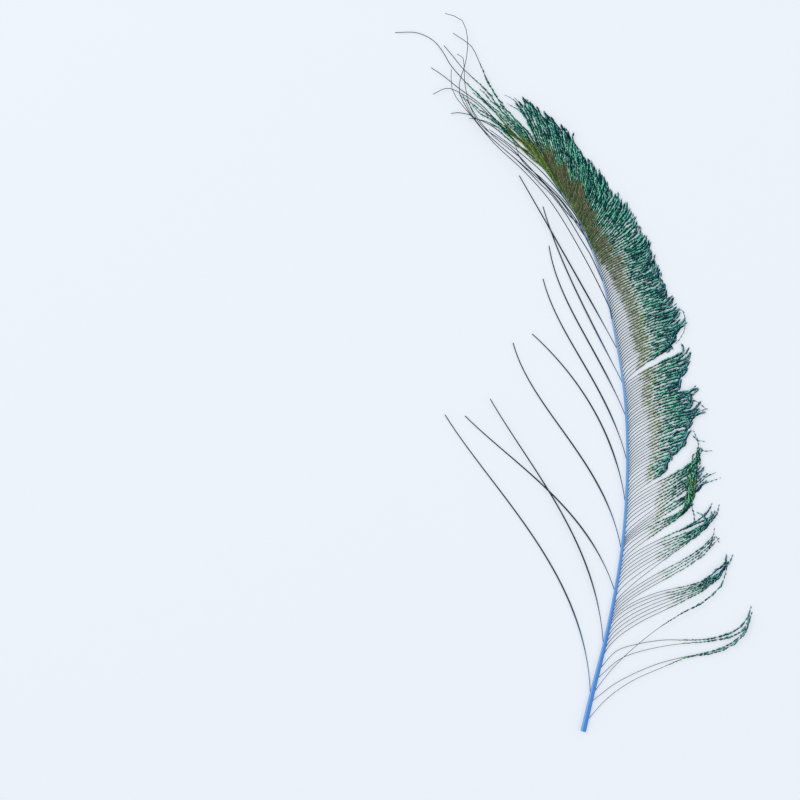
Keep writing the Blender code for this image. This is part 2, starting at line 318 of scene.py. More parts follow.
# Beaded strands that have strayed, by the lobe they come from: the height they lie at, their tone,
# the size of their tufts, and their course.
STRAYS = {
    "vane_lobe_01": [
        (1.6, 0.90, 0.48, [(-22.5, 125), (-25.5, 131), (-28, 134.5), (-31.5, 137.5), (-34, 138.5)]),
        (1.3, 0.94, 0.45, [(-23, 126.5), (-25.5, 129.5), (-28.5, 132), (-32.3, 134)]),
        (1.0, 0.94, 0.55, [(-22.5, 128), (-25, 132.5), (-29.3, 137.5)]),
    ],
    "vane_lobe_03": [
        (1.8, 0.97, 0.50, [
            (51, 30), (53.9, 31.5), (55.5, 28.5), (55.8, 25), (55.5, 21.5), (53.5, 17.5), (51.5, 15),
        ]),
    ],
    "vane_lobe_05": [
        (1.8, 0.97, 0.65, [(57, -13.5), (62, -14.5), (65, -17), (66.4, -18.2)]),
        (1.5, 0.97, 0.55, [(66.4, -18.2), (63.5, -19), (60, -20.5), (56, -21.5)]),
    ],
    "lower_tuft_01": [
        (1.9, 0.90, 0.60, [(62, -45), (63.8, -39.5), (66.5, -39), (69.5, -39)]),
        (1.7, 0.90, 0.60, [(61, -45), (62.5, -38), (61.8, -33.5), (60.5, -30)]),
        (1.7, 0.92, 0.65, [(60, -31.5), (61.8, -33.6), (64.5, -34)]),
        (1.5, 0.92, 0.70, [(59, -60), (62, -56), (66.5, -52), (71.25, -49.75)]),
        (1.3, 0.96, 0.65, [(58, -61), (62, -57), (67.5, -54.5), (72.4, -52.9)]),
        (1.6, 0.92, 0.65, [(58, -60), (58.5, -63.5), (59.5, -68), (60.4, -72), (60, -75.5)]),
    ],
    "lower_tuft_02": [
        (1.5, 0.94, 0.80, [(53, -79), (59.5, -76), (64.5, -74), (69, -71.5), (69, -70)]),
        (1.2, 0.94, 0.75, [(57, -77.5), (63.5, -74.5), (69.5, -73), (72, -70), (72.8, -66)]),
    ],
    "lower_tuft_03": [
        (1.5, 0.97, 0.55, [(68, -87), (71, -82), (72.8, -84.5)]),
    ],
    "lower_tuft_04": [
        (1.5, 0.97, 0.85, [(66, -103), (71.75, -98.5), (75.5, -95), (76.3, -91)]),
        (1.2, 0.97, 0.80, [(72, -98), (77, -95.5), (79.8, -91)]),
    ],
}

# The bright tangle at the end of the first lower tuft: a middle course, and how far to either side
# its strands lie.
TANGLE_COURSE = [
    (53, -71), (56.5, -67.5), (58.7, -62.5), (59.3, -57.5), (59.8, -52), (61.2, -45), (63.4, -38),
]
TANGLE_HEIGHT = 1.7
TANGLE_OFFSETS = (-2.6, -1.9, -1.3, -0.7, -0.1, 0.5, 1.1, 1.7)

# ---------------------------------------- grooming

# How the vane changes from the cut end to the tip, by height along Y.

# Distance between neighbouring barbs.
BARB_PITCH = [
    (-140, 1.8), (-125, 1.45), (-110, 1.38), (-85, 1.38), (-60, 1.42), (-40, 1.42), (-20, 1.34),
    (0, 1.30), (30, 1.34), (48, 1.20), (56, 1.24), (66, 1.10), (75, 0.92),
]
PITCH_AT = 0.5               # share of the length at which the pitch is measured

# Share of a barb that is bare at its root, and share that is downy after it.
BARE_SHARE = [
    (-160, 0.50), (-125, 0.50), (-114, 0.48), (-106, 0.41), (-80, 0.38), (-60, 0.44), (-45, 0.35),
    (-30, 0.30), (0, 0.27), (25, 0.24), (33, 0.21), (40, 0.18), (52, 0.11), (58, 0.06), (66, 0.0),
]
DOWN_SHARE = [
    (-160, 0.03), (-110, 0.05), (-60, 0.07), (-30, 0.10), (0, 0.14), (25, 0.15), (40, 0.20),
    (52, 0.27), (62, 0.33), (80, 0.39), (88, 0.46), (93, 0.50),
]

# Size of the down and of the tufts, how far the down turns from olive to bronze, and how far the
# beads lean from green to blue.
DOWN_SIZE = [(-60, 0.84), (-20, 1.08), (10, 1.26), (45, 1.36), (70, 1.40)]
TUFT_SIZE = [
    (-140, 0.70), (-123, 0.68), (-119, 0.58), (-114, 0.60), (-104, 0.76), (-70, 0.89), (-55, 1.05),
    (-20, 1.10), (0, 1.06), (40, 1.08), (60, 1.15), (80, 1.18), (94, 1.02),
]
BRONZE = [(-60, 0.0), (20, 0.0), (40, 0.5), (60, 1.0), (88, 1.0), (95, 0.4)]
COOL = [(-60, 0.10), (40, 0.08), (75, 0.0)]

# Angle by which the tips hook over, how far the barbs of a tooth draw together, and the share of
# barbs whose tips stray.
HOOK = [(-130, 14), (-100, 18), (-66, 24), (-50, 60), (0, 66), (25, 60), (50, 40), (80, 14), (95, 0)]
HOOK_START = 0.84            # share of the length at which the hook begins
TOOTH_PULL = [(-140, 0.75), (-100, 0.55), (-66, 0.42), (-60, 0.16), (0, 0.09), (95, 0.10)]
TOOTH_BARBS = (3, 7)         # fewest and most barbs in a whole tooth
STRAY_SHARE = [(-112, 0.0), (-100, 0.06), (0, 0.10), (40, 0.05), (95, 0.03)]
STRAY_TURN = (30, 100)       # least and greatest angle by which a tip strays
SWAY_LENGTH = (7.0, 13.0)    # shortest and longest wave in a barb's outer part

SPLIT_WIDTH = 4.0            # tips closer than this to the next lobe's belong to a fine split
SPLIT_CLOSE = 0.30           # how far a lobe's edge reaches towards its neighbour's
SPLIT_OPEN = 0.1             # the same past the root, where the split is a wide one

STEM_ROOT = 0.24             # half thickness of a barb's own stem where it leaves the shaft
STEM_MIDDLE = 0.172
STEM_TIP = 0.11
# How much thicker or thinner stems are by height along Y, in their bare part and past it.
STEM_BARE = [(-110, 0.86), (-60, 0.96), (-25, 1.10), (66, 1.15)]
STEM_FULL = [(-110, 0.90), (-60, 1.0), (-20, 1.20), (25, 1.32), (45, 1.55), (65, 1.85)]
STEM_FOOT = 2.2              # length over which the thick root thins out
FOOT_DROP = 1.3              # how far down the shaft a barb's foot is drawn
FOOT_REACH = 1.7             # length over which the foot bends back to its course
LIE_HEIGHT = 0.75            # height that the outer vane lies at

# Tones along a barb: one number that the colour ramps read.
TONE_ROOT = 0.0
TONE_BARE = 0.14
TONE_BRONZE = 0.30
TONE_OLIVE = 0.37
TONE_YELLOW = 0.45
TONE_LIME = 0.52
TONE_GREEN = 0.62
TONE_TEAL = 0.86
TONE_TIP = 0.97
TONE_SLOPE = 0.012           # keeps the tone moving where it would stay the same


def table_value(table, height):
    """The value at a height, between the rows of a table of (height, value)."""
    heights, values = zip(*table)
    return float(np.interp(height, heights, values))


def smooth_step(share):
    """A soft change from 0 to 1 as the share goes from 0 to 1."""
    share = np.clip(share, 0.0, 1.0)
    return share * share * (3.0 - 2.0 * share)


def eased(start, reach):
    """The same change along a barb, from a start and over a reach, both as shares of its length."""
    return smooth_step((ALONG - start) / reach)


def smooth_course(points, steps):
    """Even steps along a smooth curve through the points (Catmull-Rom)."""
    points = np.array(points, float)
    before = 2 * points[0] - points[1]
    after = 2 * points[-1] - points[-2]
    run = np.vstack([before, points, after])
    dense = []
    for a, b, c, d in zip(run, run[1:], run[2:], run[3:]):
        for t in np.linspace(0.0, 1.0, 16, endpoint=False):
            dense.append(0.5 * (2 * b + (c - a) * t + (2 * a - 5 * b + 4 * c - d) * t**2
                                + (3 * b - 3 * c + d - a) * t**3))
    dense.append(points[-1])
    return even_course(np.array(dense), steps)


def even_course(course, steps):
    """The same course in even steps."""
    length = np.concatenate([[0.0], np.cumsum(np.linalg.norm(np.diff(course, axis=0), axis=1))])
    even = np.linspace(0.0, length[-1], steps)
    return np.column_stack([np.interp(even, length, course[:, i]) for i in range(2)])


def side_of(course):
    """Unit vectors across a flat course, pointing to its right."""
    along = np.gradient(course, axis=0)
    along /= np.linalg.norm(along, axis=1)[:, None]
    return np.column_stack([along[:, 1], -along[:, 0]])


SHAFT_LINE = smooth_course(SHAFT_COURSE, 400)
SHAFT_RIGHT = side_of(SHAFT_LINE)


def shaft_middle(height):
    """Height of the shaft's centre above the surface, at a height along Y."""
    low, high = SHAFT_COURSE[0][1], SHAFT_COURSE[-1][1]
    along = (height - low) / (high - low)
    arch = SHAFT_ARCH * np.sin(math.pi * along) ** 2 + SHAFT_RISE * along
    return SHAFT_DEPTH * table_value(SHAFT_WIDTH, height) / 2 + arch


def root_on_shaft(height, side):
    """Where a barb leaves the shaft, just inside its surface: side is 1 for right and -1 for left."""
    x, y = (np.interp(height, SHAFT_LINE[:, 1], SHAFT_LINE[:, i]) for i in range(2))
    across = np.array([np.interp(height, SHAFT_LINE[:, 1], SHAFT_RIGHT[:, i]) for i in range(2)])
    return np.array([x, y]) + side * across * table_value(SHAFT_WIDTH, height) * ROOT_INSET


def barb_course(root, tip, leave, arrive):
    """A barb's flat course: a cubic curve that leaves and arrives at the two angles."""
    tip = np.array(tip, float)
    reach = np.linalg.norm(tip - root)
    leave_by = np.array([math.cos(math.radians(leave)), math.sin(math.radians(leave))])
    arrive_by = np.array([math.cos(math.radians(arrive)), math.sin(math.radians(arrive))])
    pull_root = root + LEAVE_REACH * reach * leave_by
    pull_tip = tip - ARRIVE_REACH * reach * arrive_by
    t = np.linspace(0.0, 1.0, 96)[:, None]
    curve = ((1 - t)**3 * root + 3 * (1 - t)**2 * t * pull_root
             + 3 * (1 - t) * t**2 * pull_tip + t**3 * tip)
    return even_course(curve, BARB_STEPS)


def rooted(course, foot, reach=FOOT_REACH):
    """Draws the first part of a course to a foot, so that it leaves the shaft in a soft bend."""
    travelled = np.linspace(0.0, length_of(course), len(course))
    course = course + (foot - course[0]) * np.exp(-travelled / reach)[:, None]
    return even_course(course, BARB_STEPS)


class Barb:
    """One barb: its course, heights, stem thickness, tuft size, down size and tone, step by step, and a
    random glint that sets its painted glint and shifts where its tufts start.
    """

    def __init__(self, course, heights, thick, tuft, down, tone, glint):
        self.course = course
        self.heights = heights
        self.thick = thick
        self.tuft = tuft
        self.down = down
        self.tone = tone
        self.glint = glint


def length_of(course):
    """Length of a course."""
    return float(np.linalg.norm(np.diff(course, axis=0), axis=1).sum())


def hooked(course, turn, start):
    """Turns the last part of a course gradually by an angle in degrees, from a share of its length."""
    along = np.linspace(0.0, 1.0, len(course) - 1)
    runs = np.diff(course, axis=0)
    bend = math.radians(turn) * smooth_step((along - start) / (1.0 - start))
    turned = np.column_stack([runs[:, 0] * np.cos(bend) - runs[:, 1] * np.sin(bend),
                              runs[:, 0] * np.sin(bend) + runs[:, 1] * np.cos(bend)])
    return np.vstack([course[0], course[0] + np.cumsum(turned, axis=0)])


def stem_thickness(course, root=STEM_ROOT, middle=STEM_MIDDLE, tip=STEM_TIP):
    """Half thickness along a barb: a stout foot, an even middle and a fine tip."""
    foot = np.exp(-ALONG * length_of(course) / STEM_FOOT)
    return middle + (root - middle) * foot + (tip - middle) * ALONG**2


def vane_barb(rng, height, course, lift, rise):
    """A barb of the dense side: bare at its root, then downy, then tufted to its tip."""
    bare = table_value(BARE_SHARE, height)
    if bare > 0.04:
        bare += rng.gauss(0.0, 0.022)
    downy = bare + table_value(DOWN_SHARE, height) * rng.uniform(0.75, 1.2)

    # It climbs from the shaft to the height at which the vane lies, and its tip rises on its own.
    start = float(shaft_middle(height))
    heights = start + (lift - start) * eased(0.0, 0.55)
    heights += rise * eased(0.6, 0.4) ** 2

    # Tufts grow towards the tip and thin out at its very end. Down fills the stretch before them.
    grown = 0.74 + 0.46 * eased(downy, 0.80 - downy)
    grown *= table_value(TUFT_SIZE, height)
    tuft = grown * eased(downy - 0.08, 0.10)
    tuft *= 1.0 - 0.35 * eased(0.93, 0.07)
    down = eased(bare - 0.03, 0.06) * (1.0 - eased(downy, 0.10))
    down *= table_value(DOWN_SIZE, height)

    # Barbs that are downy from the root start yellow green. The others start with a bare foot, blue
    # low on the shaft and dark higher up. Away from the cut end, their down is olive or bronze and
    # turns yellow past it.
    cool = table_value(COOL, height)
    beads = [TONE_GREEN + cool, TONE_TEAL - 0.08 + cool, TONE_TIP - 0.08 + cool]
    bronze = TONE_OLIVE + (TONE_BRONZE - TONE_OLIVE) * table_value(BRONZE, height) * rng.uniform(0.3, 1.0)
    if bare < 0.12 and height > 48.0:
        stops = [0.0, 0.04, 0.08, downy * 0.5, downy * 0.8, downy, downy + 0.01, 0.80, 1.0]
        tones = [TONE_LIME, TONE_YELLOW, TONE_OLIVE, TONE_OLIVE, bronze, bronze, *beads]
    else:
        young = float(smooth_step((height + 105.0) / 30.0))
        lime = rng.uniform(0.03, 0.11)
        first_bead = TONE_GREEN + (bronze + 0.02 - TONE_GREEN) * young
        second_bead = TONE_GREEN + (TONE_YELLOW - TONE_GREEN) * young
        stops = [0.0, 0.10, bare, bare + 0.03, downy, downy + lime, downy + lime + 0.01, 0.82, 1.0]
        foot = TONE_ROOT + (TONE_BARE - TONE_ROOT) * float(smooth_step((height + 20.0) / 55.0))
        tones = [foot, max(foot, 0.09), TONE_BARE + 0.02, first_bead, first_bead, second_bead, *beads]
    tone = np.interp(ALONG, stops, tones) + rng.uniform(-0.025, 0.025) + TONE_SLOPE * ALONG
    lean, full = table_value(STEM_BARE, height), table_value(STEM_FULL, height)
    thick = stem_thickness(course) * (lean + (full - lean) * eased(bare, 0.10))
    return Barb(course, heights, thick, tuft, down, np.clip(tone, 0.0, 1.0), rng.random())


def guide_course(guides, height):
    """The course of a lobe's barb whose root is at a height, between its guide barbs."""
    tip_x, tip_y, leave, arrive = (np.interp(height, guides[:, 0], guides[:, i]) for i in range(1, 5))
    course = barb_course(root_on_shaft(height, 1), (tip_x, tip_y), leave, arrive)
    return rooted(course, root_on_shaft(height - FOOT_DROP, 1))


def closed_up(guides, neighbour):
    """An extra guide at a lobe's edge that brings it up to the neighbour's edge."""
    own, other = np.array(guides, float), np.array(neighbour, float)
    edge = own + SPLIT_CLOSE * (other - own)
    if math.dist(own[1:3], other[1:3]) > SPLIT_WIDTH:
        edge[1:] = own[1:] + SPLIT_OPEN * (other[1:] - own[1:])
    return edge


def full_guides(name):
    """A lobe's guides with those that close the splits to the lobes above and below it."""
    names = list(LOBES)
    place = names.index(name)
    guides = [np.array(row, float) for row in LOBES[name]]
    if place > 0:
        guides.insert(0, closed_up(LOBES[name][0], LOBES[names[place - 1]][-1]))
    if place < len(names) - 1:
        guides.append(closed_up(LOBES[name][-1], LOBES[names[place + 1]][0]))
    return np.array(guides[::-1])


def lobe_roots(guides):
    """Root heights of a lobe's barbs, so spaced that the barbs keep their pitch across the vane."""
    heights = np.linspace(guides[0, 0], guides[-1, 0], 160)
    at = int(PITCH_AT * (BARB_STEPS - 1))
    travelled = [0.0]
    courses = [guide_course(guides, height) for height in heights]
    for before, after, height in zip(courses, courses[1:], heights):
        along = after[at + 1] - after[at - 1]
        along /= np.linalg.norm(along)
        step = after[at] - before[at]
        apart = abs(step[0] * along[1] - step[1] * along[0])
        travelled.append(travelled[-1] + apart / table_value(BARB_PITCH, height))
    count = max(2, round(travelled[-1]) + 1)
    return np.interp(np.linspace(0.0, travelled[-1], count), travelled, heights)


def wavy(rng, course, most):
    """A course whose outer part sways gently from side to side."""
    along = np.linspace(0.0, 1.0, len(course))
    waves = length_of(course) / rng.uniform(*SWAY_LENGTH)
    sway = most * smooth_step((along - 0.35) / 0.5) * np.sin(2 * math.pi * (waves * along + rng.random()))
    return course + side_of(course) * sway[:, None]


def groom_lobe(rng, guides):
    """Evenly laid barbs between the guides of one lobe, whose tips close up into pointed teeth."""
    roots = lobe_roots(guides)
    courses = [guide_course(guides, height) for height in roots]
    closing = (0.45 * eased(0.40, 0.4) + 0.55 * eased(0.70, 0.3))[:, None]
    barbs = []
    first = 0
    while first < len(roots):
        members = list(range(first, min(first + rng.randint(*TOOTH_BARBS), len(roots))))
        leader = members[rng.randint(len(members) // 3, (2 * len(members)) // 3)]
        pull = table_value(TOOTH_PULL, roots[leader]) * rng.uniform(0.5, 1.5)
        lift = LIE_HEIGHT + rng.uniform(-0.1, 0.35)
        turn = table_value(HOOK, roots[leader]) * rng.uniform(0.4, 1.5) + rng.gauss(0.0, 4.0)
        reach = 1.0 - abs(rng.gauss(0.0, 0.010))
        # The barbs of a tooth draw together towards their leader's tip, and fall a little short of it.
        for member in members:
            apart = abs(member - leader)
            close = closing * min(pull, 0.9)
            course = courses[member] + (courses[leader] - courses[member]) * close
            keep = reach - 0.006 * apart - abs(rng.gauss(0.0, 0.010))
            course = even_course(course[:max(4, round(keep * BARB_STEPS))], BARB_STEPS)
            stray = rng.gauss(0.0, 8.0)
            if rng.random() < table_value(STRAY_SHARE, roots[member]):
                stray = rng.choice((-1, 1)) * rng.uniform(*STRAY_TURN)
            course = wavy(rng, hooked(course, turn + stray, HOOK_START), rng.uniform(0.05, 0.28))
            barbs.append(vane_barb(rng, roots[member], course, lift + rng.uniform(-0.15, 0.2),
                                   rng.uniform(-0.2, 0.9)))
        first += len(members)
    return barbs


def stray_strand(rng, height, tone, tuft, course):
    """A beaded strand that leaves the lobe it belongs to."""
    course = smooth_course(course, BARB_STEPS)
    size = tuft * (1.0 - 0.35 * eased(0.8, 0.2))
    tones = np.clip(tone + rng.uniform(-0.03, 0.03) + TONE_SLOPE * ALONG, 0.0, 1.0)
    thick = STEM_MIDDLE + (STEM_TIP - STEM_MIDDLE) * ALONG
    return Barb(course, np.full(BARB_STEPS, height), thick, size, np.zeros(BARB_STEPS), tones, rng.random())


def groom_tangle(rng):
    """The bright yellow green strands that run up side by side where the first lower tuft ends."""
    middle = smooth_course(TANGLE_COURSE, BARB_STEPS)
    across = side_of(middle)
    spread = np.sin(math.pi * (0.04 + 0.86 * ALONG))[:, None]
    strands = []
    for offset in TANGLE_OFFSETS:
        course = wavy(rng, middle + across * offset * spread, 0.8)
        height = TANGLE_HEIGHT + rng.uniform(-0.5, 0.5)
        strand = stray_strand(rng, height, TONE_GREEN, rng.uniform(0.75, 0.95), course)
        if rng.random() < 0.6:
            lime = rng.uniform(0.25, 0.4)
            strand.tone = np.interp(ALONG, [0.0, lime, lime + 0.01, lime + 0.28, lime + 0.29, 1.0],
                                    [TONE_GREEN, TONE_GREEN, TONE_LIME, TONE_LIME, TONE_GREEN, TONE_TEAL])
        strands.append(strand)
    return strands


def lower_barb(rng, row):
    """A single barb near the cut end, beaded on its outer half only."""
    height, passing, end, route = row
    course = smooth_course([root_on_shaft(height, 1), *route], BARB_STEPS)
    barb = vane_barb(rng, height, course, passing + 0.1, end - passing)
    barb.tuft = barb.tuft * np.linspace(0.80, 1.15, BARB_STEPS)
    barb.tone = np.where(barb.tone > TONE_LIME, np.maximum(barb.tone, TONE_TEAL), barb.tone)
    return barb


def inner_barb(rng, row):
    """A long bare barb of the inner side: a thin teal foot, then a stouter dark run of short barbules."""
    height, tip_x, tip_y, leave, arrive, passing = row
    course = barb_course(root_on_shaft(height, -1), (tip_x, tip_y), leave, arrive)
    start = float(shaft_middle(height))
    heights = start + (passing - start) * eased(0.0, 0.3)
    grown = eased(0.06, 0.22)
    thick = (0.21 + 0.24 * grown) * (1.0 - 0.42 * ALONG**2)
    down = 0.56 * grown * (1.0 - 0.5 * ALONG)
    tone = np.interp(ALONG, [0.0, 0.08, 0.24, 0.36, 1.0], [0.0, 0.01, 0.05, TONE_BARE, 0.20])
    return Barb(course, heights, thick, np.zeros(BARB_STEPS), down, tone, rng.random())


def fan_barb(rng, passing, course, covered):
    """A barb of the fan past the shaft's tip: downy and yellow green, then beaded, then a bare hair."""
    thick = 0.27 - 0.09 * ALONG
    tuft = 0.90 * eased(0.20, 0.08) * (1.0 - eased(covered, 0.25))
    down = 1.2 * (1.0 - eased(0.16, 0.16))
    tone = np.interp(ALONG, [0.0, 0.14, 0.24, 0.27, 1.0],
                     [TONE_LIME, TONE_YELLOW, TONE_OLIVE, TONE_GREEN + 0.04, TONE_TEAL])
    return Barb(course, np.full(BARB_STEPS, passing), thick, tuft, down, tone, rng.random())


def last_barb(rng, row):
    """One of the vane's last barbs: yellow green or bronze down, then beads to its tip."""
    height, tip_x, tip_y, leave, arrive = row
    course = barb_course(root_on_shaft(height, 1), (tip_x, tip_y), leave, arrive)
    course = wavy(rng, rooted(course, root_on_shaft(height - FOOT_DROP, 1)), rng.uniform(0.1, 0.4))
    roots = [other[0] for rows in LAST_BARBS.values() for other in rows]
    warm = (max(roots) - height) / (max(roots) - min(roots))
    downy = rng.uniform(0.8, 1.1) * (14.0 + 15.0 * warm) / length_of(course)
    downy = min(downy, rng.uniform(0.65, 0.85))
    tuft = 0.80 * eased(downy - 0.08, 0.12) * (1.0 - 0.35 * eased(0.7, 0.3))
    down = 1.2 * (1.0 - eased(downy, 0.14))
    middle = TONE_YELLOW + (TONE_BRONZE - TONE_YELLOW) * warm * rng.uniform(0.5, 1.0)
    tone = np.interp(ALONG, [0.0, downy * 0.4, downy, downy + 0.02, 1.0],
                     [TONE_LIME, TONE_YELLOW, middle, TONE_GREEN + 0.02, TONE_TEAL])
    heights = 1.0 + 0.5 * rng.random() + 0.3 * ALONG
    return Barb(course, heights, stem_thickness(course), tuft, down, tone, rng.random())


def hair_barb(rng, passing, course):
    """A dark plain barb that hugs the shaft and ends in a hair."""
    thick = 0.29 * (1.0 - 0.45 * ALONG)
    down = 0.26 * eased(0.05, 0.1) * (1.0 - eased(0.45, 0.4))
    tone = np.interp(ALONG, [0.0, 0.1, 0.3, 1.0], [0.02, 0.08, TONE_BARE, 0.20])
    return Barb(course, np.full(BARB_STEPS, passing), thick, np.zeros(BARB_STEPS), down, tone, rng.random())


def groom_tip(rng):
    """The long barbs past the shaft's tip, the hairs between them and the vane's last barbs."""
    grooms = {}
    for name, (passing, root, side, route) in TIP_BARBS.items():
        course = smooth_course([root_on_shaft(root, side), *route], BARB_STEPS)
        if name in COVERED:
            grooms[name] = [fan_barb(rng, passing, course, COVERED[name])]
        else:
            grooms[name] = [hair_barb(rng, passing, course)]
    for name, passing, root, route in HAIRS:
        course = smooth_course([root_on_shaft(root, -1), *route], BARB_STEPS)
        grooms[name].append(hair_barb(rng, passing, course))
    for name, rows in LAST_BARBS.items():
        grooms[name] += [last_barb(rng, row) for row in rows]
    return grooms


# ---------------------------------------- node helpers


def feed(node, values):
    """Sets a node's inputs by name or number. A value that is another node's output is linked."""
    for name, value in values.items():
        if isinstance(value, bpy.types.NodeSocket):
            node.id_data.links.new(value, node.inputs[name])
        else:
            node.inputs[name].default_value = value


def add_node(tree, kind, values=None, **settings):
    """A new node with its settings and its inputs."""
    node = tree.nodes.new(kind)
    for key, value in settings.items():
        setattr(node, key, value)
    feed(node, values or {})
    return node


def add_object(name, data):
    """A new object in the scene."""
    thing = bpy.data.objects.new(name, data)
    bpy.context.scene.collection.objects.link(thing)
    return thing


# ---------------------------------------- materials


def new_material(name, finish):
    """A new material whose shader has the given plain inputs: the material, its tree and its shader."""
    material = bpy.data.materials.new(name)
    material.use_nodes = True
    shader = material.node_tree.nodes["Principled BSDF"]
    feed(shader, finish)
    return material, material.node_tree, shader


def map_axes(tree):
    """The piece's own map, and its first and second axis."""
    spot = add_node(tree, "ShaderNodeUVMap", uv_map="OFBake").outputs["UV"]
    split = add_node(tree, "ShaderNodeSeparateXYZ", {"Vector": spot})
    return spot, split.outputs["X"], split.outputs["Y"]


def ramp(tree, place, stops):
    """The colour at a place, from stops of (place, colour)."""
    node = add_node(tree, "ShaderNodeValToRGB", {"Fac": place})
    elements = node.color_ramp.elements
    while len(elements) < len(stops):
        elements.new(0.5)
    for element, (place, color) in zip(elements, stops):
        element.position = place
        element.color = (*color, 1.0)
    return node.outputs["Color"]


def mixed(tree, factor, first, second, **settings):
    """A mix of two colours."""
    values = {"Factor": factor, "A": first, "B": second}
    return add_node(tree, "ShaderNodeMix", values, data_type="RGBA", **settings).outputs["Result"]


def in_range(tree, value, low, high, top=1.0, **settings):
    """A value's way from low to high, as a number from 0 to the top."""
    values = {"Value": value, "From Min": low, "From Max": high, "To Max": top}
    return add_node(tree, "ShaderNodeMapRange", values, **settings).outputs["Result"]


# Tone stops with three colours of a barb (linear): a painted-shade colour, the open colour and a
# painted-highlight colour for glints.
TONES = [
    (0.00, (0.012, 0.090, 0.190), (0.030, 0.190, 0.360), (0.060, 0.300, 0.500)),
    (0.08, (0.005, 0.028, 0.046), (0.014, 0.060, 0.088), (0.060, 0.130, 0.170)),
    (0.24, (0.004, 0.030, 0.040), (0.012, 0.068, 0.084), (0.065, 0.130, 0.150)),
    (0.30, (0.046, 0.036, 0.016), (0.190, 0.112, 0.048), (0.460, 0.290, 0.150)),
    (0.37, (0.038, 0.064, 0.034), (0.108, 0.154, 0.078), (0.230, 0.310, 0.145)),
    (0.45, (0.028, 0.058, 0.014), (0.130, 0.190, 0.040), (0.420, 0.500, 0.140)),
    (0.52, (0.030, 0.076, 0.018), (0.140, 0.250, 0.050), (0.350, 0.620, 0.160)),
    (0.62, (0.002, 0.026, 0.032), (0.006, 0.130, 0.098), (0.340, 0.980, 0.520)),
    (0.86, (0.002, 0.026, 0.046), (0.005, 0.104, 0.124), (0.270, 0.920, 0.600)),
    (1.00, (0.002, 0.022, 0.056), (0.004, 0.084, 0.142), (0.190, 0.680, 0.620)),
]


def barb_material():
    """Barb colour with painted iridescence: its tone runs along the map's first axis, and its painted glint,
    from painted shade to painted highlight, along the second.
    """
    material, tree, shader = new_material("barb_tone_and_painted_glint", {
        "Roughness": 0.42, "Specular IOR Level": 0.15})
    _, tone, glint = map_axes(tree)
    dark, fair, bright = (ramp(tree, tone, [(stop[0], stop[level]) for stop in TONES])
                          for level in (1, 2, 3))
    # The glint mixes the painted-shade colour into the open one, then lays the painted-highlight colour over
    # it.
    body = mixed(tree, in_range(tree, glint, 0.12, 0.52, interpolation_type="SMOOTHSTEP"), dark, fair)
    color = mixed(tree, in_range(tree, glint, 0.56, 0.82, interpolation_type="SMOOTHSTEP"), body, bright)
    feed(shader, {"Base Color": color, "Metallic": in_range(tree, tone, TONE_YELLOW, TONE_GREEN, 0.45)})
    return material


def shaft_material():
    """Dyed keratin: azure with a painted highlight near its crown and painted shade towards its edges and
    underside, paler towards the tip, with fine lengthwise streaks.
    """
    material, tree, shader = new_material("dyed_shaft", {"Roughness": 0.34})
    spot, around, along = map_axes(tree)
    # Around the quill: darker towards both edges and underneath as painted shade, with a pale painted
    # highlight just left of the crown.
    dye = ramp(tree, around, [
        (0.00, (0.020, 0.105, 0.340)),
        (0.10, (0.035, 0.190, 0.590)),
        (0.22, (0.045, 0.250, 0.740)),
        (0.30, (0.065, 0.290, 0.760)),
        (0.37, (0.250, 0.530, 0.880)),
        (0.43, (0.160, 0.410, 0.800)),
        (0.50, (0.040, 0.170, 0.480)),
    ])
    stretch = add_node(tree, "ShaderNodeMapping", {"Vector": spot, "Scale": (26.0, 9.0, 1.0)})
    streaks = add_node(tree, "ShaderNodeTexNoise", {
        "Vector": stretch.outputs["Vector"], "Scale": 1.0, "Detail": 4.0})
    streak_color = ramp(tree, streaks.outputs["Fac"], [(0.30, (0.55, 0.62, 0.75)), (0.65, (1.0, 1.0, 1.0))])
    streaked = mixed(tree, 0.55, dye, streak_color, blend_type="MULTIPLY")
    fade = ramp(tree, along, [(0.15, (0.0, 0.0, 0.0)), (0.40, (0.6, 0.6, 0.6)), (0.80, (0.85, 0.85, 0.85))])
    pale = ramp(tree, along, [(0.50, (0.15, 0.38, 0.68)), (0.75, (0.36, 0.46, 0.60))])
    feed(shader, {"Base Color": mixed(tree, fade, streaked, pale)})
    return material


def floor_material():
    """A pale matt surface that gives off part of its own light, which keeps the shadows weak."""
    return new_material("pale_floor", {
        "Base Color": (0.455, 0.452, 0.468, 1.0),
        "Roughness": 0.9,
        "Specular IOR Level": 0.1,
        "Emission Color": (0.85, 0.925, 1.0, 1.0),
        "Emission Strength": 0.49,
    })[0]


# ---------------------------------------- barbules


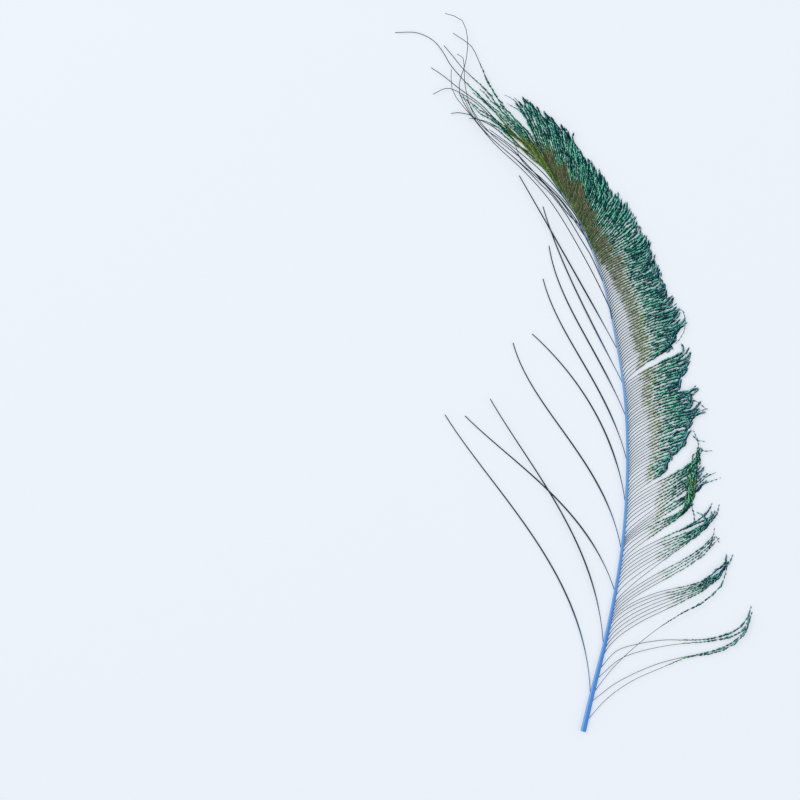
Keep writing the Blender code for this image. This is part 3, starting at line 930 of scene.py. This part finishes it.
def barbule_tuft(name, pairs, spread, width, seed):
    """A lozenge of barbules: blades from both sides of the stem bow out and close up ahead of it.

    It is one unit long along +X. Each blade is a thin three-sided spike with a ridge on top.
    """
    rng = random.Random(seed)
    points, faces, leaf = [], [], []
    for side in (-1, 1):
        for pair in range(pairs):
            share = pair / max(pairs - 1, 1)
            base = np.array([-0.50 + 0.62 * share, side * 0.03, 0.0])
            out = spread * (1.0 - 0.35 * share) * rng.uniform(0.75, 1.2)
            tip = np.array([0.05 + 0.48 * share + rng.uniform(-0.05, 0.08), side * out * 0.55,
                            rng.uniform(-0.04, 0.12)])
            middle = base * 0.5 + tip * 0.5 + np.array([0.0, side * out * 0.55, rng.uniform(0.02, 0.10)])
            along = tip - base
            across = np.array([-along[1], along[0], 0.0])
            across /= np.linalg.norm(across)
            # Painted light: blades on one side of the barb get a high glint for a painted highlight, those on
            # the other side a low one for painted shade.
            shade = rng.uniform(0.5, 1.0) if side > 0 else rng.uniform(0.0, 0.25)
            first = len(points)
            for centre, half in ((base, width * 0.35), (middle, width * 0.5)):
                points += [centre - across * half, centre + across * half,
                           centre + np.array([0.0, 0.0, width * 0.32])]
            points.append(tip)
            leaf += [(0.0, -1.0, shade), (0.0, 1.0, shade), (0.0, 0.3, shade),
                     (0.5, -1.0, shade), (0.5, 1.0, shade), (0.5, 0.3, shade), (1.0, 0.0, shade)]
            blade = ((0, 2, 1), (0, 1, 4, 3), (1, 2, 5, 4), (2, 0, 3, 5), (3, 4, 6), (4, 5, 6), (5, 3, 6))
            faces += [tuple(first + corner for corner in face) for face in blade]
    mesh = bpy.data.meshes.new(name)
    mesh.from_pydata([tuple(p) for p in points], [], faces)
    mark = mesh.attributes.new("leaf", "FLOAT_VECTOR", "POINT")
    mark.data.foreach_set("vector", np.array(leaf, float).ravel())
    return bpy.data.objects.new(name, mesh)


def barbule_set(name, shape):
    """A hidden collection of slightly different tufts for the node tree to pick from."""
    group = bpy.data.collections.new(name)
    for number in range(TUFT_KINDS):
        group.objects.link(barbule_tuft(f"{name}_{number}", *shape, SEED * 100 + number))
    return group


# ---------------------------------------- the dressing tree


def named(tree, name, kind="FLOAT"):
    """The value kept under a name."""
    node = add_node(tree, "GeometryNodeInputNamedAttribute", {"Name": name}, data_type=kind)
    return node.outputs["Attribute"]


def math_node(tree, operation, first, second, clamp=False):
    """The result of a sum on two values, each a number or another node's output."""
    node = add_node(tree, "ShaderNodeMath", {0: first, 1: second}, operation=operation, use_clamp=clamp)
    return node.outputs["Value"]


def stored(tree, geometry, name, value, kind="FLOAT", domain="POINT"):
    """The geometry with a value kept on it under a name."""
    values = {"Geometry": geometry, "Name": name, "Value": value}
    node = add_node(tree, "GeometryNodeStoreNamedAttribute", values, data_type=kind, domain=domain)
    return node.outputs["Geometry"]


def random_value(tree, low, high, seed, kind="FLOAT"):
    """A random value between two ends."""
    values = {"Min": low, "Max": high, "Seed": seed}
    return add_node(tree, "FunctionNodeRandomValue", values, data_type=kind).outputs["Value"]


def tuft_points(tree, curve, pitch, seed):
    """Points at even steps along the barbs, a little off their lines, and the barbs' direction there."""
    steps = add_node(tree, "GeometryNodeCurveToPoints", {"Curve": curve, "Length": pitch}, mode="LENGTH")
    shift = math_node(tree, "ADD", named(tree, "glint"), random_value(tree, -0.72, -0.28, seed + 4))
    shift = math_node(tree, "MULTIPLY", shift, pitch)
    slide = add_node(tree, "ShaderNodeVectorMath", {
        0: steps.outputs["Tangent"], "Scale": shift}, operation="SCALE")
    most = WANDER * MM
    wander = random_value(tree, (-most, -most, -most / 2), (most, most, most), seed + 5, "FLOAT_VECTOR")
    offset = add_node(tree, "ShaderNodeVectorMath", {0: slide.outputs["Vector"], 1: wander}, operation="ADD")
    moved = add_node(tree, "GeometryNodeSetPosition", {
        "Geometry": steps.outputs["Points"], "Offset": offset.outputs["Vector"]})
    # A random painted glint for each tuft, which makes some tufts painted highlights and leaves others in
    # painted shade.
    spark = random_value(tree, 0.0, 1.0, seed + 3)
    return stored(tree, moved.outputs["Geometry"], "spark", spark), steps.outputs["Tangent"]


def tuft_turn(tree, along, seed):
    """The turn that lays a tuft along its barb, level but for a little disorder."""
    face = add_node(tree, "FunctionNodeAlignRotationToVector", {"Vector": along}, axis="X")
    level = add_node(tree, "FunctionNodeAlignRotationToVector", {
        "Rotation": face.outputs["Rotation"], "Vector": (0.0, 0.0, 1.0)}, axis="Z", pivot_axis="X")
    jitter = random_value(tree, (-0.50, -0.10, -0.14), (0.50, 0.08, 0.22), seed + 1, "FLOAT_VECTOR")
    tilt = add_node(tree, "FunctionNodeEulerToRotation", {"Euler": jitter})
    turn = add_node(tree, "FunctionNodeRotateRotation", {
        "Rotation": level.outputs["Rotation"], "Rotate By": tilt.outputs["Rotation"]}, rotation_space="LOCAL")
    return turn.outputs["Rotation"]


def tuft_branch(tree, curve, pitch, group, size_name, length, seed):
    """Tufts at even steps along the barbs, turned along them and sized by a named attribute."""
    points, along = tuft_points(tree, curve, pitch, seed)
    size = named(tree, size_name)
    spread = random_value(tree, 1.0 - SIZE_SPREAD, 1.0 + SIZE_SPREAD, seed + 2)
    source = add_node(tree, "GeometryNodeCollectionInfo", {
        "Collection": group, "Separate Children": True, "Reset Children": True})
    place = add_node(tree, "GeometryNodeInstanceOnPoints", {
        "Points": points,
        "Selection": math_node(tree, "GREATER_THAN", size, LEAST_SIZE),
        "Instance": source.outputs["Instances"],
        "Pick Instance": True,
        "Instance Index": random_value(tree, 0, TUFT_KINDS - 1, seed, "INT"),
        "Rotation": tuft_turn(tree, along, seed),
        "Scale": math_node(tree, "MULTIPLY", math_node(tree, "MULTIPLY", size, spread), length),
    })
    return add_node(tree, "GeometryNodeRealizeInstances", {
        "Geometry": place.outputs["Instances"]}).outputs["Geometry"]


def mapped(tree, geometry, across, along, share):
    """Stores the map that the colours read: tone first, then the painted glint, from painted shade to painted
    highlight.
    """
    tone = math_node(tree, "ADD", named(tree, "tone"), along, clamp=True)
    glint = math_node(tree, "ADD", share, across, clamp=True)
    pair = add_node(tree, "ShaderNodeCombineXYZ", {"X": tone, "Y": glint})
    return stored(tree, geometry, "OFBake", pair.outputs["Vector"], "FLOAT2", "CORNER")


TREE_INPUTS = {
    "Lines": "Geometry", "Stem Sides": "Int", "Tuft Pitch": "Float", "Down Pitch": "Float",
    "Tufts": "Collection", "Down": "Collection", "Tuft Length": "Float", "Down Length": "Float",
    "Finish": "Material",
}
RING_GLINT = 0.12            # how far the painted glint changes around a stem, so one side of it is painted lighter
STEM_GLINT = 0.35            # how much of a barb's own painted glint its stem takes
BLADE_GLINT = 0.02           # how far the painted glint changes across a blade
BLADE_TONE = 0.05            # how far the tone changes along a blade


def stems_branch(tree, curve, sides):
    """A tapering stem along each barb."""
    ring = add_node(tree, "GeometryNodeCurvePrimitiveCircle", {"Resolution": sides, "Radius": 1.0})
    around = add_node(tree, "GeometryNodeSplineParameter").outputs["Factor"]
    stem = add_node(tree, "GeometryNodeCurveToMesh", {
        "Curve": curve,
        "Profile Curve": stored(tree, ring.outputs["Curve"], "ring", around),
        "Scale": named(tree, "thick"),
        "Fill Caps": True,
    })
    soft = add_node(tree, "GeometryNodeSetShadeSmooth", {"Geometry": stem.outputs["Mesh"]})
    # The stem's painted glint, mostly between painted shade and the open colour, changes around it and with
    # its barb's own glint.
    ring_glint = math_node(tree, "MULTIPLY", named(tree, "ring"), RING_GLINT)
    stem_glint = math_node(tree, "MULTIPLY", named(tree, "glint"), STEM_GLINT)
    return mapped(tree, soft.outputs["Geometry"], ring_glint, 0.0, stem_glint)


def blades_branch(tree, curve, inputs, group, kind, seed):
    """Tufts of one kind on the barbs. Their painted glint, from painted shade to painted highlight, depends
    on the side of the barb and on chance.
    """
    blades = tuft_branch(tree, curve, inputs[kind + " Pitch"], inputs[group], kind.lower(),
                         inputs[kind + " Length"], seed)
    leaf = add_node(tree, "ShaderNodeSeparateXYZ", {"Vector": named(tree, "leaf", "FLOAT_VECTOR")})
    lit = math_node(tree, "MULTIPLY", leaf.outputs["Z"], LIT_SIDE)
    share = math_node(tree, "ADD", lit, math_node(tree, "MULTIPLY", named(tree, "spark"), 1.0 - LIT_SIDE))
    across = math_node(tree, "MULTIPLY", leaf.outputs["Y"], BLADE_GLINT)
    along = math_node(tree, "MULTIPLY", leaf.outputs["X"], BLADE_TONE)
    return mapped(tree, blades, across, along, share)


def dressing_tree():
    """Barb lines in, dressed barbs out: a stem along each line, and tufts and down on it."""
    tree = bpy.data.node_groups.new("dress_barbs", "GeometryNodeTree")
    for name, kind in TREE_INPUTS.items():
        tree.interface.new_socket(name, in_out="INPUT", socket_type="NodeSocket" + kind)
    tree.interface.new_socket("Barbs", in_out="OUTPUT", socket_type="NodeSocketGeometry")
    inputs = add_node(tree, "NodeGroupInput").outputs

    curves = add_node(tree, "GeometryNodeMeshToCurve", {"Mesh": inputs["Lines"]})
    upright = add_node(tree, "GeometryNodeSetCurveNormal", {"Curve": curves.outputs["Curve"]}, mode="Z_UP")
    curve = upright.outputs["Curve"]
    merged = add_node(tree, "GeometryNodeJoinGeometry")
    feed(merged, {"Geometry": blades_branch(tree, curve, inputs, "Tufts", "Tuft", 11)})
    feed(merged, {"Geometry": blades_branch(tree, curve, inputs, "Down", "Down", 31)})
    feed(merged, {"Geometry": stems_branch(tree, curve, inputs["Stem Sides"])})
    finish = add_node(tree, "GeometryNodeSetMaterial", {
        "Geometry": merged.outputs["Geometry"], "Material": inputs["Finish"]})
    add_node(tree, "NodeGroupOutput", {"Barbs": finish.outputs["Geometry"]})
    return tree


def barb_lines(name, barbs):
    """The barbs as plain lines whose points carry the dressing values."""
    points, edges = [], []
    values = {key: [] for key in ("thick", "tuft", "down", "tone", "glint")}
    for barb in barbs:
        first = len(points)
        points += [(x * MM, y * MM, z * MM) for (x, y), z in zip(barb.course, barb.heights)]
        edges += [(first + i, first + i + 1) for i in range(BARB_STEPS - 1)]
        values["thick"] += list(barb.thick * MM)
        values["tuft"] += list(barb.tuft)
        values["down"] += list(barb.down)
        values["tone"] += list(barb.tone)
        values["glint"] += [barb.glint] * BARB_STEPS
    mesh = bpy.data.meshes.new(name + "_lines")
    mesh.from_pydata(points, edges, [])
    for key, numbers in values.items():
        mark = mesh.attributes.new(key, "FLOAT", "POINT")
        mark.data.foreach_set("value", np.array(numbers, np.float32))
    return add_object(name + "_lines", mesh)


def dress(name, barbs, tree, settings):
    """Runs the dressing tree on the barbs and keeps the result as a plain mesh."""
    lines = barb_lines(name, barbs)
    modifier = lines.modifiers.new("dress", "NODES")
    modifier.node_group = tree
    for item in tree.interface.items_tree:
        if item.item_type == "SOCKET" and item.in_out == "INPUT" and item.name in settings:
            modifier[item.identifier] = settings[item.name]
    shown = lines.evaluated_get(bpy.context.evaluated_depsgraph_get())
    mesh = bpy.data.meshes.new_from_object(shown)
    mesh.name = name
    bpy.data.objects.remove(lines)
    return add_object(name, mesh)


# ---------------------------------------- the shaft


QUILL_SIDES = 32
QUILL_STEPS = 220
GROOVE_DEPTH = 0.22          # depth of the groove under the quill, as a share of its half depth
GROOVE_EDGE = 6              # how sharply the groove turns into the round sides
CAP_SPOTS = (0.006, 0.994)   # where along the quill its two end faces take their colour from


def shaft_piece(material):
    """The quill: an oval tube with a shallow groove under it, cut square at its base."""
    course = smooth_course(SHAFT_COURSE, QUILL_STEPS)
    turns = [2 * math.pi * side / QUILL_SIDES for side in range(QUILL_SIDES)]
    points, faces, spots = [], [], []
    for place, across in zip(course, side_of(course)):
        wide = table_value(SHAFT_WIDTH, place[1]) / 2
        middle = float(shaft_middle(place[1]))
        for turn in turns:
            dip = 1.0 - GROOVE_DEPTH * max(0.0, -math.sin(turn)) ** GROOVE_EDGE
            flat = place + across * wide * math.cos(turn)
            points.append((flat[0] * MM, flat[1] * MM,
                           (middle + wide * SHAFT_DEPTH * math.sin(turn) * dip) * MM))
    for step in range(QUILL_STEPS - 1):
        low, high = step / (QUILL_STEPS - 1), (step + 1) / (QUILL_STEPS - 1)
        for side in range(QUILL_SIDES):
            a = step * QUILL_SIDES + side
            b = step * QUILL_SIDES + (side + 1) % QUILL_SIDES
            faces.append((a, a + QUILL_SIDES, b + QUILL_SIDES, b))
            left, right = side / QUILL_SIDES, (side + 1) / QUILL_SIDES
            spots += [(left, low), (left, high), (right, high), (right, low)]
    faces.append(tuple(range(QUILL_SIDES)))
    faces.append(tuple(range(len(points) - QUILL_SIDES, len(points)))[::-1])
    for centre in CAP_SPOTS:
        spots += [(0.25 + 0.01 * math.cos(turn), centre + 0.004 * math.sin(turn)) for turn in turns]
    mesh = bpy.data.meshes.new("shaft_quill")
    mesh.from_pydata(points, [], faces)
    chart = mesh.uv_layers.new(name="OFBake")
    chart.data.foreach_set("uv", np.array(spots, np.float32).ravel())
    mesh.materials.append(material)
    mesh.shade_smooth()
    mesh.set_sharp_from_angle(angle=math.radians(50))
    return add_object("shaft_quill", mesh)


# ---------------------------------------- stage, in metres


FRAME_WIDTH = 0.400          # width of the surface that the camera takes in
RIGHT_ROOM = 0.0243          # surface in view past the feather's right side
CENTRE_DROP = 0.0135         # how far the view's centre lies below the feather's middle
LENS = 100.0                 # focal length, and the sensor's width, in millimetres
SENSOR = 36.0
FLOOR_HALF = 3.0             # half the side of the floor
SKY = (0.90, 0.95, 1.0, 1.0)
SKY_STRENGTH = 0.74

# Square lights that face the middle of the stage: place, side, power and colour.
LIGHTS = {
    "key": ((-0.9, 0.7, 1.5), 0.8, 9.0, (1.0, 0.99, 0.97)),
    "fill": ((1.2, -0.6, 1.3), 1.0, 4.0, (0.95, 0.98, 1.0)),
}


def add_camera():
    """A camera that looks straight down, with the feather on the right of its view."""
    data = bpy.data.cameras.new("camera")
    data.lens = LENS
    data.sensor_width = SENSOR
    camera = add_object("camera", data)
    low, high = cad_box
    camera.location = (high.x + RIGHT_ROOM - FRAME_WIDTH / 2, (low.y + high.y) / 2 - CENTRE_DROP,
                       FRAME_WIDTH * LENS / SENSOR)
    bpy.context.scene.camera = camera


def add_light(name, place, side, power, color):
    """A soft square light that faces the middle of the stage."""
    data = bpy.data.lights.new(name, "AREA")
    data.shape = "SQUARE"
    data.size = side
    data.energy = power
    data.color = color
    light = add_object(name, data)
    light.location = place
    light.rotation_euler = (-Vector(place)).to_track_quat("-Z", "Y").to_euler()


def add_stage():
    """The pale floor, the even sky and the two lights."""
    corners = [(x * FLOOR_HALF, y * FLOOR_HALF, 0) for x, y in ((-1, -1), (1, -1), (1, 1), (-1, 1))]
    mesh = bpy.data.meshes.new("floor")
    mesh.from_pydata(corners, [], [(0, 1, 2, 3)])
    mesh.materials.append(floor_material())
    add_object("floor", mesh)

    world = bpy.data.worlds.new("studio")
    world.use_nodes = True
    feed(world.node_tree.nodes["Background"], {"Color": SKY, "Strength": SKY_STRENGTH})
    bpy.context.scene.world = world
    for name, light in LIGHTS.items():
        add_light(name, *light)
    bpy.context.scene.view_settings.view_transform = "Standard"


# ---------------------------------------- the feather


def groom():
    """Every barb of the feather, by the CAD node that it stands for."""
    groups = {}
    for number, name in enumerate(LOBES):
        groups[name] = groom_lobe(random.Random(SEED * 1000 + number), full_guides(name))
    rng = random.Random(SEED)
    groups["lower_tuft_01"] += groom_tangle(rng)
    for name, rows in STRAYS.items():
        groups[name] += [stray_strand(rng, *row) for row in rows]
    for name, row in LOWER_BARBS.items():
        groups[name] = [lower_barb(rng, row)]
    for name, row in INNER_BARBS.items():
        groups[name] = [inner_barb(rng, row)]
    groups.update(groom_tip(rng))
    return groups


def build():
    """Dresses every run of barbs and lays the quill."""
    tree = dressing_tree()
    settings = {
        "Stem Sides": STEM_SIDES,
        "Tuft Pitch": TUFT_PITCH * MM,
        "Down Pitch": DOWN_PITCH * MM,
        "Tufts": barbule_set("tufts", TUFT_SHAPE),
        "Down": barbule_set("down", DOWN_SHAPE),
        "Tuft Length": TUFT_LENGTH * MM,
        "Down Length": DOWN_LENGTH * MM,
        "Finish": barb_material(),
    }
    for name, barbs in groom().items():
        piece = dress(name + "_barbs", barbs, tree, settings)
        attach(piece, "root")
        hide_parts(name)

    quill = shaft_piece(shaft_material())
    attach(quill, "root")
    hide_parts("shaft")


add_camera()
build()
add_stage()
